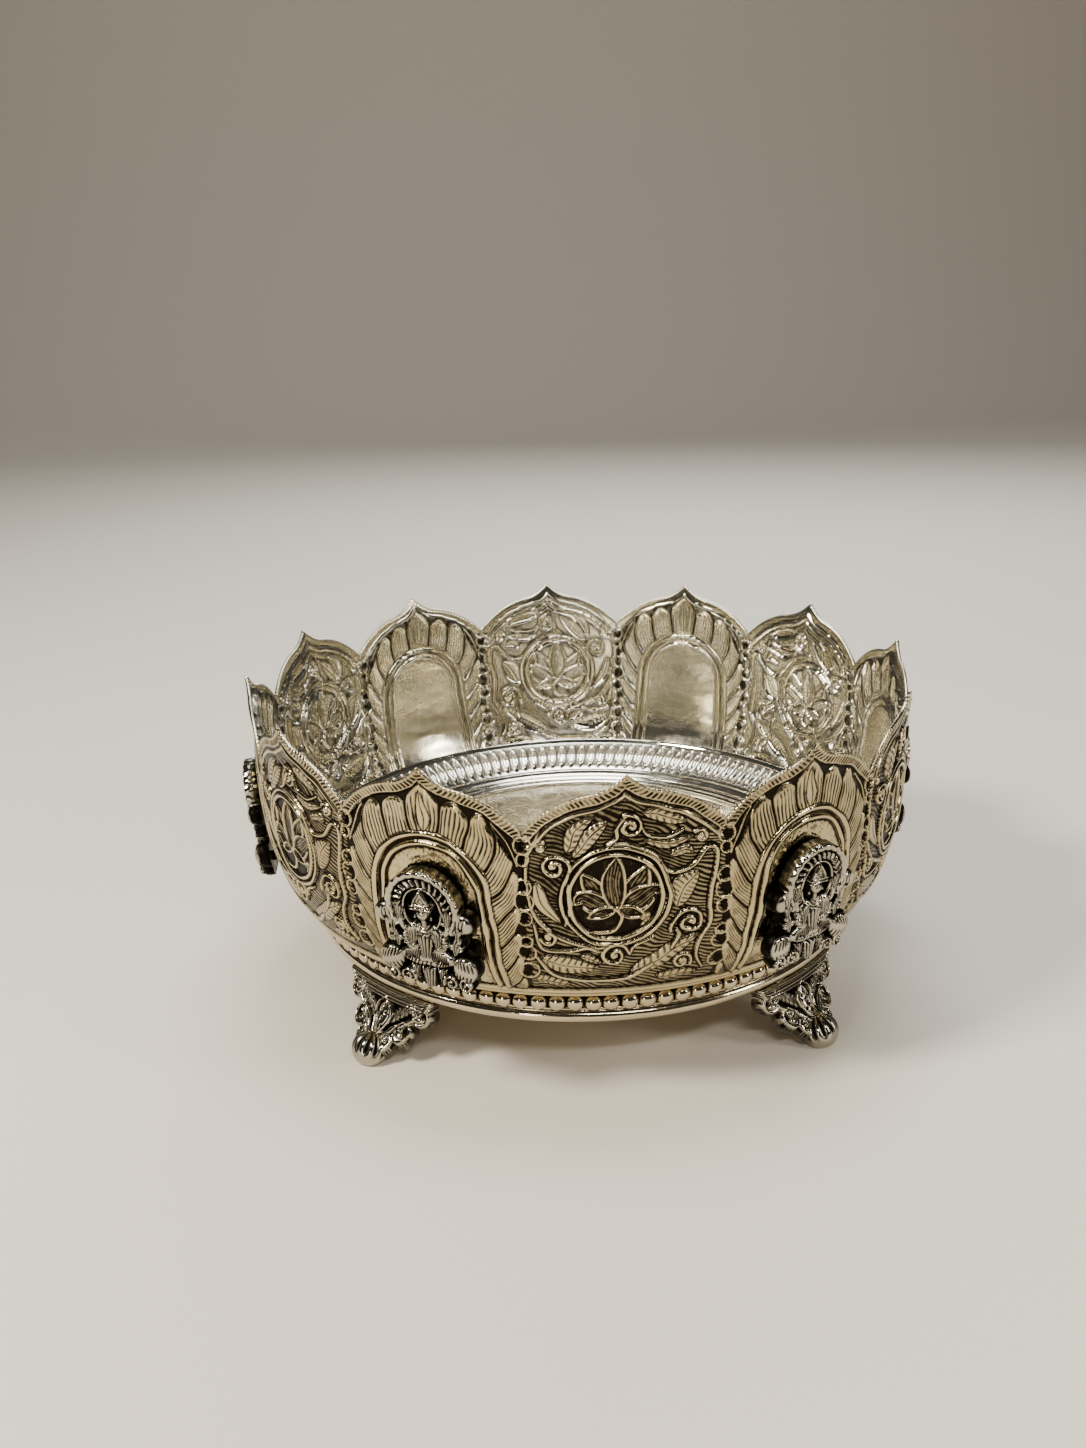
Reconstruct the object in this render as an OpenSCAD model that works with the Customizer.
// Offering bowl of chased sheet silver: a scalloped wall of lotus petals, a fluted floor,
// a beaded base, cast plaques in the arched niches and four cast palmette feet.
// The origin is on the table under the middle of the bowl, +Z is up, the front petal faces -Y.

/* [Wall] */
// Radius of the wall at the petal tips
tip_r = 100; // [96:0.5:110]
// Height of the petal tips above the table
tip_z = 97.5; // [94:0.5:106]
// Radius of the wall at the valleys between the petals
valley_r = 98.3; // [94:0.5:104]
// Height of the valleys between the petals
valley_z = 82.3; // [78:0.5:88]
// Outer radius of the upright collar at the foot of the wall
collar_r = 80.9; // [74:0.5:86]
// Height of the upright collar
collar_h = 3.8; // [3:0.1:5]
// Radius that the belly bulges towards
belly_r = 99.4; // [96:0.2:104]
// How high above the collar the belly's bulge lies
belly_rise = 7.6; // [5:0.2:12]
// Thickness of the wall's sheet
sheet_t = 1.2; // [0.8:0.1:1.5]
// Number of petals, niches and medallions by turns
petal_count = 12; // [8:2:16]

/* [Relief] */
// How far the chased lines stand out of the sheet
relief_h = 0.8; // [0.3:0.1:1.2]
// Height of the border that follows the rim
rim_band = 3.2; // [2:0.1:5]
// How far the rim border stands out
rim_raise = 0.5; // [0.3:0.1:0.8]
// Width of one chased line
line_w = 1.3; // [0.8:0.1:1.8]
// Half width of a niche's arch
arch_r = 17.2; // [13:0.2:19]
// Height of the arch's centre above the table
arch_z = 62.5; // [56:0.5:64]
// How much wider an arch is at its foot, each side
arch_splay = 1.8; // [0:0.1:2.5]
// Groove between the arch's two lines
arch_gap = 1.3; // [0.8:0.1:2]
// Outer radius of a medallion
medallion_r = 13.2; // [9:0.2:15]
// Height of the medallions' centres above the table
medallion_z = 64; // [56:0.5:66]
// Sideways offset of the hand-set medallions
medallion_shift = 2.6; // [0:0.2:4]
// Height of the plain band under the chasing
band_h = 3; // [2:0.1:4]
// How far the plain band lies above the collar
band_rise = 3.6; // [3:0.1:4.5]

/* [Base] */
// Height of the underside of the base above the table
base_z = 20.2; // [16:0.2:24]
// Height of the rolled moulding round the base
moulding_h = 3.6; // [3:0.1:4.4]
// Thickness of the base pan's sheet
pan_t = 1.2; // [0.8:0.1:1.6]
// Height of the pan's upright skirt
skirt_h = 6.4; // [5.6:0.1:7]
// Radius of one bead
bead_r = 2.05; // [1.6:0.05:2.1]
// Number of beads to a petal
petal_beads = 9; // [7:1:10]
// Gap left for solder between two pieces
joint_gap = 0.1; // [0.05:0.05:0.25]

/* [Floor] */
// Height of the floor ring on the wall
ring_z = 38.3; // [36:0.1:42]
// Radius of the bead that edges the floor
ring_wire_r = 0.8; // [0.5:0.1:1]
// Height of the flat floor
floor_z = 29.4; // [28.6:0.1:31]
// How far inside the collar the flat floor ends
floor_inset = 6.9; // [5:0.1:12]
// Thickness of the floor's sheet
floor_t = 1; // [0.8:0.1:1.2]
// Radius of the embossed medallion in the middle of the floor
boss_r = 30; // [20:0.5:40]
// How far the medallion is raised
boss_h = 1; // [0.5:0.1:1.5]

/* [Plaques] */
// Least gap between the wall and a plaque's back
plaque_gap = 0.6; // [0.3:0.1:1.5]
// Height of the plaques' lower edge above the table
plaque_z = 37; // [36:0.5:40]
// Height of a plaque
plaque_h = 34.5; // [32:0.5:36]
// Half width of a plaque at its seat
plaque_half_w = 14.6; // [12:0.2:15]
// Thickness of a plaque's backing
plaque_t = 1.8; // [1.4:0.1:2.2]
// How far the figure stands out of its backing
figure_t = 3; // [2:0.1:3.6]
// Lean of the plaques, in degrees from upright
plaque_lean = 5.9; // [4:0.1:8]
// Radius of the posts behind a plaque
post_r = 1.6; // [1:0.1:2]

/* [Feet] */
// Number of feet
foot_count = 4; // [3:1:6]
// Turn of the feet from the valleys, in degrees
foot_turn = -4; // [-8:0.5:8]
// How far outside the collar the toes stand
toe_reach = 10.1; // [7:0.1:14]
// Half width of the strip along a foot's top
foot_half_w = 17.5; // [14:0.5:19]
// Thickness of the cast foot
foot_t = 2.8; // [2:0.1:3.4]
// Radius of the toe knob
toe_knob_r = 4.4; // [3.6:0.1:5]
// Height of the strip along a foot's top
strip_h = 2; // [1.6:0.1:2.6]
// Length of the lug that runs under the base
lug_l = 14; // [12:0.5:18]
// Half width of the lug
lug_half_w = 10; // [8.5:0.5:12]
// Radius of a rivet's shank
rivet_r = 1.2; // [0.9:0.1:1.5]
// Height of a rivet's head
rivet_head_h = 1; // [0.8:0.1:1.4]

/* [Hidden] */

$fn = 48;
// Sides of the smallest rounds
small_fn = 16;
silver = "#cfc5a8";
bright = "#dcdad2";
dark_silver = "#8f8c84";

petal_angle = 360 / petal_count;
belly_steps = 6;
flare_steps = 2;
// Overrun of cuts and of what they cut
over = 2;

// Places of the rim's points from the petal tip, 0, to the valley, 1
rim_shares = [0, 0.07, 0.15, 0.26, 0.4, 0.56, 0.72, 0.87, 1];
// Share of a petal's height that its round lobe takes, and the share of its width that the tip takes
lobe_share = 0.7;
tip_width_share = 0.33;
// Power of the curve of a petal's lobe
lobe_power = 2.6;
// Where the belly springs from the collar, outwards and upwards, as shares of the sheet's thickness
spring_shares = [1.75, 1.4];

collar_z = base_z + moulding_h + joint_gap;
band_z = collar_z + collar_h + band_rise;
pan_r = collar_r - sheet_t - joint_gap;
half_petal_w = tip_r * sin(petal_angle / 2);
core_r = collar_r / 2;
floor_r = collar_r - floor_inset;
toe_r = collar_r + toe_reach;
foot_reach = toe_r + 2 * toe_knob_r;

// Outer line of the wall: the upright collar, the round belly and the flare of the petals
belly = [
    [collar_r + sheet_t * spring_shares[0], collar_z + collar_h + sheet_t * spring_shares[1]],
    [belly_r, collar_z + collar_h + belly_rise],
    [valley_r, valley_z],
];
flare = [belly[2], [valley_r, (valley_z + tip_z) / 2], [tip_r, tip_z]];
wall_line = concat(
    [[collar_r, collar_z], [collar_r, collar_z + collar_h]],
    [for (i = [0:belly_steps]) curve(belly, i / belly_steps)],
    [for (i = [1:flare_steps]) curve(flare, i / flare_steps)],
    [[tip_r, tip_z + over]]
);

function curve(p, t) = (1 - t) * (1 - t) * p[0] + 2 * t * (1 - t) * p[1] + t * t * p[2];

// Unit normal of a line's point, to the right of the way the line runs
function line_normal(line, i) =
    let (
        a = line[max(i - 1, 0)],
        b = line[min(i + 1, len(line) - 1)],
        d = (b - a) / norm(b - a)
    ) [d[1], -d[0]];

function moved_line(line, by) = [for (i = [0:len(line) - 1]) line[i] + by * line_normal(line, i)];

// Outer radius of the wall at a height
function wall_r(z) = lookup(z, [for (p = wall_line) [p[1], p[0]]]);

function backwards(line) = [for (i = [len(line) - 1:-1:0]) line[i]];

// Height of the rim at a share of the way from a petal's tip to its valley
function rim_height(share) =
    let (spike = max(0, 1 - share / tip_width_share))
    valley_z + (tip_z - valley_z)
        * (lobe_share * (1 - pow(share, lobe_power)) + (1 - lobe_share) * spike * spike);

// Shell of revolution between two distances from the wall's outer line
module shell(inner, outer) {
    rotate_extrude()
        polygon(concat(moved_line(wall_line, outer), backwards(moved_line(wall_line, inner))));
}

// Everything inside the wall's outer line moved by a distance
module inside_of_wall(by) {
    line = moved_line(wall_line, by);
    last = line[len(line) - 1];
    rotate_extrude()
        polygon(concat([[0, line[0][1]]], line, [[0, last[1]]]));
}

// A flat outline, seen from outside, pushed through the wall at an angle round the bowl
module through_wall(angle) {
    rotate([0, 0, angle])
        translate([core_r, 0, 0])
            rotate([90, 0, 90])
                linear_extrude(tip_r - core_r + over)
                    children();
}

// The gap above the valley between two petals, lowered by a distance
module valley_outline(lower) {
    right = [for (s = backwards(rim_shares)) [half_petal_w * (1 - s), rim_height(s) - lower]];
    left = [for (p = backwards(right)) [-p[0], p[1]]];
    wide = half_petal_w + over;
    top = tip_z + 2 * over;
    polygon(concat(
        [[-wide, top], [-wide, tip_z - lower]],
        [for (i = [0:len(left) - 2]) left[i]],
        right,
        [[wide, tip_z - lower], [wide, top]]
    ));
}

module valleys(lower) {
    for (i = [0:petal_count - 1])
        through_wall(petal_angle * (i + 0.5))
            valley_outline(lower);
}

// A niche's arch: a round head on legs that splay down to the middle of the plain band
module arch(half_w) {
    foot_w = half_w + arch_splay;
    foot_z = band_z + band_h / 2;
    translate([0, arch_z]) circle(half_w);
    polygon([[-foot_w, foot_z], [foot_w, foot_z], [half_w, arch_z], [-half_w, arch_z]]);
}

module arch_line(half_w) {
    difference() {
        arch(half_w);
        arch(half_w - line_w);
    }
}

// Ribs between the leaves round an arch: angles from the crown, heights on the legs as shares of
// the legs, the angle that those rise at, and the ribs' length
leaf_angles = [22, 62];
leg_rib_shares = [0.45];
leg_rib_angle = 50;
leaf_rib_l = 9;

module leaf_rib() {
    translate([-line_w / 2, -line_w / 2])
        square([line_w / 2, leaf_rib_l]);
}

module leaf_ribs() {
    for (side = [0, 1])
        mirror([side, 0]) {
            for (a = leaf_angles)
                translate([0, arch_z])
                    rotate(-a)
                        translate([0, arch_r]) leaf_rib();
            for (s = leg_rib_shares)
                translate([arch_r + arch_splay * (1 - s), band_z + (arch_z - band_z) * s])
                    rotate(-leg_rib_angle) leaf_rib();
        }
}

module niche_relief() {
    arch_line(arch_r);
    arch_line(arch_r - line_w - arch_gap);
    leaf_ribs();
}

// Volutes of the scrolls round a medallion: across, up and radius as shares of the medallion's
volute_shares = [[-1.17, 0.66, 0.28], [0.24, 1.41, 0.25], [-0.05, -1.29, 0.31], [1.44, -0.67, 0.34]];

// A raised ring
module ring_line(r) {
    difference() {
        circle(r);
        circle(r - line_w);
    }
}

module medallion_relief() {
    translate([-medallion_shift, medallion_z]) {
        ring_line(medallion_r);
        ring_line(medallion_r - 2 * line_w);
        for (s = volute_shares)
            translate([s[0], s[1]] * medallion_r) ring_line(s[2] * medallion_r);
    }
}

// The wall: one sheet, chased with arches and medallions, with a raised rim border
module petal_wall() {
    color(silver)
        difference() {
            union() {
                shell(-sheet_t, 0);
                intersection() {
                    shell(-sheet_t / 2, rim_raise);
                    valleys(rim_band);
                }
                intersection() {
                    shell(-sheet_t / 2, relief_h);
                    translate([0, 0, band_z]) cylinder(h = band_h, r = tip_r);
                }
                intersection() {
                    shell(-sheet_t / 2, relief_h);
                    union() {
                        for (i = [0:2:petal_count - 1]) {
                            through_wall(petal_angle * i) niche_relief();
                            through_wall(petal_angle * (i + 1)) medallion_relief();
                        }
                    }
                }
            }
            valleys(0);
        }
}

// Shares of the cove between the flat floor and the ring: how far out, how far up
cove_shares = [[0.22, 0.27], [0.56, 0.66]];

// Upper line of the floor, from its middle to past the wall
ring_r = wall_r(ring_z) - sheet_t - ring_wire_r;
floor_end_r = wall_r(ring_z) + sheet_t;
floor_line = concat(
    [
        [0, floor_z + boss_h],
        [boss_r - boss_h, floor_z + boss_h],
        [boss_r, floor_z],
        [floor_r, floor_z],
    ],
    [for (s = cove_shares) [floor_r + (ring_r - floor_r) * s[0], floor_z + (ring_z - floor_z) * s[1]]],
    [[ring_r, ring_z], [floor_end_r, ring_z]]
);

// Flutes of the sloping edge: how many to a petal, how much of its share one takes across, and
// where it starts and ends between the cove and the ring
petal_flutes = 12;
flute_share = 0.55;
flute_end_shares = [0.08, 0.9];

// Radial flutes that stand out of the sloping edge
module floor_flutes() {
    a = petal_angle / petal_flutes;
    run = floor_line[6] - floor_line[5];
    low = floor_line[5] + run * flute_end_shares[0];
    high = floor_line[5] + run * flute_end_shares[1];
    up = ring_wire_r * [-run[1], run[0]] / norm(run);
    for (i = [0:petal_flutes * petal_count - 1])
        rotate([0, 0, i * a])
            rotate_extrude(angle = a * flute_share)
                polygon([low - up / 2, high - up / 2, high + up / 2, low + up / 2]);
}

// The floor: a dish with a fluted sloping edge, a ring against the wall and raised rings
module floor_dish() {
    color(bright)
        intersection() {
            union() {
                rotate_extrude()
                    polygon(concat(
                        floor_line,
                        [[floor_end_r, ring_z - floor_t]],
                        backwards([
                            for (i = [1:len(floor_line) - 2])
                                floor_line[i] + floor_t * line_normal(floor_line, i)
                        ]),
                        [[0, floor_z + boss_h - floor_t]]
                    ));
                for (r = [floor_r, floor_r - 4 * ring_wire_r, boss_r + 2 * boss_h])
                    rotate_extrude()
                        translate([r, floor_z]) circle(ring_wire_r, $fn = small_fn);
                floor_flutes();
            }
            inside_of_wall(-sheet_t - joint_gap);
        }
}

// The base pan: a flat bottom and an upright skirt that the wall's collar slips over
module base_pan() {
    color(silver)
        difference() {
            translate([0, 0, base_z]) cylinder(h = skirt_h, r = pan_r);
            translate([0, 0, base_z + pan_t]) cylinder(h = skirt_h, r = pan_r - pan_t);
            all_rivet_places()
                translate([0, 0, base_z - over]) cylinder(h = pan_t + 2 * over, r = rivet_r + joint_gap / 2);
        }
}

// The rolled moulding round the foot of the bowl
module base_moulding() {
    roll_r = moulding_h / 2;
    in_r = pan_r + joint_gap;
    color(silver)
        rotate_extrude() {
            translate([collar_r + roll_r / 2, base_z + roll_r]) circle(roll_r);
            translate([in_r, base_z]) square([collar_r + roll_r / 2 - in_r, moulding_h]);
        }
}

// The beaded wire soldered round the collar: a flat strip that carries a row of beads
module bead_band() {
    count = petal_beads * petal_count;
    in_r = collar_r + joint_gap;
    color(silver) {
        rotate_extrude()
            translate([in_r, collar_z + joint_gap])
                square([bead_r / 2, collar_h - joint_gap]);
        for (i = [0:count - 1])
            rotate([0, 0, (i + 0.5) * 360 / count])
                translate([in_r + bead_r, 0, collar_z + collar_h - bead_r / 3]) sphere(bead_r);
    }
}

// A plaque's parts: shares of its half width across, of its height upwards, and then a radius as a
// share of the half width
halo_centre_share = 0.69;
halo_hole_share = 0.6;
halo_rim_share = 0.94;
halo_bead_share = 0.77;
halo_beads = 9;
bead_angle = 26;
outline_disc_shares = [[0.78, 0.6, 0.22], [0.69, 0.19, 0.31]];
base_w_share = 0.72;
base_h_share = 0.19;
waist_w_share = 0.62;
post_shares = [[0, 0.86], [-0.56, 0.16], [0.56, 0.16]];

// The figure: round parts on both sides, limbs on both sides as two ends and a radius, and cones
// as lower end, upper end, lower radius and upper radius
head_shares = [0, 0.665, 0.18];
side_knob_shares = [
    [0.26, 0.53, 0.16],
    [0.56, 0.665, 0.13],
    [0.64, 0.25, 0.21],
    [0.78, 0.6, 0.17],
    [0.7, 0.18, 0.25],
];
limb_shares = [
    [[0.26, 0.53], [0.5, 0.4], 0.1],
    [[0.5, 0.4], [0.3, 0.31], 0.085],
    [[0.28, 0.52], [0.56, 0.64], 0.08],
    [[0.62, 0.25], [-0.05, 0.23], 0.15],
    [[0.68, 0.32], [0.74, 0.56], 0.09],
];
cone_shares = [[0.7, 0.87, 0.17, 0.05], [0.52, 0.66, 0.09, 0.09], [0.28, 0.54, 0.17, 0.26]];
seat_shares = [[-0.66, 0.15], [0.66, 0.15], 0.1];
petal_row_shares = [
    [-0.57, 0.09],
    [-0.38, 0.075],
    [-0.19, 0.07],
    [0, 0.065],
    [0.19, 0.07],
    [0.38, 0.075],
    [0.57, 0.09],
];
petal_r_share = 0.125;

halo_y = plaque_h * halo_centre_share;
halo_r = plaque_h - halo_y;

// Radius of the plaques' backs at their lower edge, where the leaning back just clears the wall
plaque_back_r = plaque_gap
    + max([for (p = wall_line) if (p[1] < plaque_z + plaque_h) p[0] - (p[1] - plaque_z) * tan(plaque_lean)]);

function on_plaque(s) = [s[0] * plaque_half_w, s[1] * plaque_h, 0];

module plaque_outline() {
    translate([0, halo_y]) circle(halo_r);
    for (side = [-1, 1])
        for (s = outline_disc_shares)
            translate([side * s[0] * plaque_half_w, s[1] * plaque_h]) circle(s[2] * plaque_half_w);
    translate([-plaque_half_w * base_w_share, 0])
        square([2 * plaque_half_w * base_w_share, plaque_h * base_h_share]);
    translate([-plaque_half_w * waist_w_share, 0])
        square([2 * plaque_half_w * waist_w_share, halo_y]);
}

// A round part of the figure
module knob(s) {
    translate(on_plaque(s)) sphere(s[2] * plaque_half_w);
}

// A round limb of the figure between two places
module limb(s) {
    run = on_plaque(s[1]) - on_plaque(s[0]);
    translate(on_plaque(s[0]))
        rotate([0, 0, atan2(run[1], run[0])])
            rotate([0, 90, 0])
                cylinder(h = norm(run), r = s[2] * plaque_half_w);
}

// A seated, crowned figure on a lotus seat, in half round
module figure() {
    knob(head_shares);
    for (s = cone_shares)
        translate(on_plaque([0, s[0]]))
            rotate([-90, 0, 0])
                cylinder(h = (s[1] - s[0]) * plaque_h, r1 = s[2] * plaque_half_w, r2 = s[3] * plaque_half_w);
    for (side = [0, 1])
        mirror([side, 0, 0]) {
            for (s = side_knob_shares) knob(s);
            for (s = limb_shares) limb(s);
        }
    limb(seat_shares);
    for (s = petal_row_shares) knob([s[0], s[1], petal_r_share]);
    for (i = [0:halo_beads - 1])
        translate([0, halo_y, 0])
            rotate([0, 0, 90 + (i - (halo_beads - 1) / 2) * bead_angle])
                translate([halo_r * halo_bead_share, 0, figure_t / 3])
                    sphere(plaque_half_w * petal_r_share / 2);
}

module plaque(angle) {
    color(dark_silver)
        difference() {
            rotate([0, 0, angle])
                translate([plaque_back_r, 0, plaque_z])
                    rotate([0, plaque_lean, 0])
                        rotate([90, 0, 90]) {
                            linear_extrude(plaque_t) plaque_outline();
                            linear_extrude(plaque_t + figure_t / 3)
                                translate([0, halo_y]) difference() {
                                    circle(halo_r * halo_rim_share);
                                    circle(halo_r * halo_hole_share);
                                }
                            intersection() {
                                translate([0, 0, plaque_t]) figure();
                                translate([0, 0, plaque_t / 2])
                                    linear_extrude(2 * figure_t) plaque_outline();
                            }
                            for (s = post_shares)
                                translate([s[0] * plaque_half_w, s[1] * plaque_h, -2 * figure_t])
                                    cylinder(h = 2 * figure_t + plaque_t / 2, r = post_r);
                        }
            inside_of_wall(joint_gap);
        }
}

// A foot's outer line: how high its bow lies and how high the toe's top, as shares of the base's
// height and of the toe's radius
foot_bow_share = 0.45;
toe_top_share = 0.7;
toe_middle_share = 0.9;
foot_steps = 7;
foot_curve = [
    [collar_r + foot_t / 2, base_z],
    [collar_r + foot_t / 4, base_z * foot_bow_share],
    [toe_r + toe_knob_r / 3, toe_knob_r * toe_top_share],
];
foot_line = [for (i = [0:foot_steps]) curve(foot_curve, i / foot_steps)];

// Right half of a foot's outline, its scrolls and its ribs, as shares of half width and height
foot_edge_shares = [
    [0.18, 0],
    [0.22, 0.24],
    [0.4, 0.36],
    [0.5, 0.5],
    [0.72, 0.66],
    [0.94, 0.88],
    [1, 1],
];
scroll_shares = [[0.72, 0.73], [0.44, 0.45]];
scroll_r_share = 0.17;
scroll_eye_share = 0.1;
middle_rib_shares = [[0.05, 0.3], [0.14, 0.62], [0, 0.86], [-0.14, 0.62], [-0.05, 0.3]];
side_rib_shares = [[0.1, 0.28], [0.3, 0.56], [0.42, 0.84], [0.22, 0.6]];
toe_lobe_shares = [0.62, 0.66];

function on_foot(s, side = 1) = [side * s[0] * foot_half_w, s[1] * base_z];

// A foot's outline, seen from outside: trunk and stepped scrolls
module foot_outline() {
    polygon(concat(
        [for (s = foot_edge_shares) on_foot(s)],
        [for (s = backwards(foot_edge_shares)) on_foot(s, -1)]
    ));
    for (side = [-1, 1])
        for (s = scroll_shares)
            translate(on_foot(s, side)) circle(foot_half_w * scroll_r_share);
}

// Raised ribs of the palmette on a foot's face
module foot_ribs() {
    translate([-foot_half_w, base_z - strip_h]) square([2 * foot_half_w, strip_h]);
    polygon([for (s = middle_rib_shares) on_foot(s)]);
    for (side = [-1, 1]) {
        polygon([for (s = side_rib_shares) on_foot(s, side)]);
        for (s = scroll_shares)
            translate(on_foot(s, side)) circle(foot_half_w * scroll_eye_share);
    }
}

module foot_plate(inner, outer) {
    rotate_extrude()
        polygon(concat(moved_line(foot_line, -inner), backwards(moved_line(foot_line, -outer))));
}

// The toe: a round knob between two smaller lobes
module toe() {
    translate([toe_r, 0, toe_knob_r * toe_middle_share]) {
        sphere(toe_knob_r);
        for (side = [-1, 1])
            translate([-toe_knob_r / 4, side * toe_knob_r * toe_lobe_shares[0], toe_knob_r / 4])
                sphere(toe_knob_r * toe_lobe_shares[1]);
    }
}

// The flat tongue that lies under the base and takes the rivets
module lug() {
    translate([collar_r - foot_t - lug_l + lug_half_w, 0, base_z - strip_h])
        linear_extrude(strip_h) {
            circle(lug_half_w);
            translate([0, -lug_half_w]) square([lug_l - lug_half_w + 1.5 * foot_t, 2 * lug_half_w]);
        }
}

// Place of a rivet on the lug of a foot that points along +X
rivet_back_share = 0.65;
rivet_side_share = 0.6;
function rivet_place(side) = [
    collar_r - foot_t - lug_l * rivet_back_share,
    side * lug_half_w * rivet_side_share,
    0,
];

module foot(angle) {
    color(dark_silver)
        rotate([0, 0, angle])
            difference() {
                union() {
                    intersection() {
                        foot_plate(-foot_t, 0);
                        through_foot() foot_outline();
                    }
                    intersection() {
                        foot_plate(-foot_t / 2, relief_h);
                        through_foot() foot_ribs();
                    }
                    toe();
                    lug();
                }
                translate([0, 0, -2 * over]) cylinder(h = 2 * over, r = foot_reach);
                translate([0, 0, base_z]) cylinder(h = over, r = foot_reach);
                for (side = [-1, 1])
                    translate(rivet_place(side) + [0, 0, base_z - strip_h - over])
                        cylinder(h = strip_h + 2 * over, r = rivet_r + joint_gap / 2);
            }
}

module through_foot() {
    translate([core_r, 0, 0])
        rotate([90, 0, 90])
            linear_extrude(foot_reach - core_r)
                children();
}

function foot_angle(i) = foot_turn + (i + 0.5) * 360 / foot_count;

module all_rivet_places() {
    for (i = [0:foot_count - 1])
        rotate([0, 0, foot_angle(i)])
            for (side = [-1, 1])
                translate(rivet_place(side)) children();
}

// The rivets that hold the feet's lugs under the base pan
rivet_cone_share = 0.7;
module foot_rivets() {
    head_r = 2 * rivet_r;
    color(dark_silver)
        all_rivet_places() {
            translate([0, 0, base_z - strip_h - rivet_head_h])
                cylinder(h = rivet_head_h, r1 = head_r * rivet_cone_share, r2 = head_r);
            translate([0, 0, base_z - strip_h - rivet_head_h / 2])
                cylinder(h = strip_h + pan_t + rivet_head_h, r = rivet_r);
            translate([0, 0, base_z + pan_t])
                cylinder(h = rivet_head_h, r1 = head_r, r2 = head_r * rivet_cone_share);
        }
}

petal_wall();
floor_dish();
base_pan();
base_moulding();
bead_band();
plaque(0);  // plaque_right
plaque(2 * petal_angle);  // plaque_back_right
plaque(4 * petal_angle);  // plaque_back_left
plaque(6 * petal_angle);  // plaque_left
plaque(8 * petal_angle);  // plaque_front_left
plaque(10 * petal_angle);  // plaque_front_right
foot(foot_angle(0));  // foot_back_right
foot(foot_angle(1));  // foot_back_left
foot(foot_angle(2));  // foot_front_left
foot(foot_angle(3));  // foot_front_right
foot_rivets();
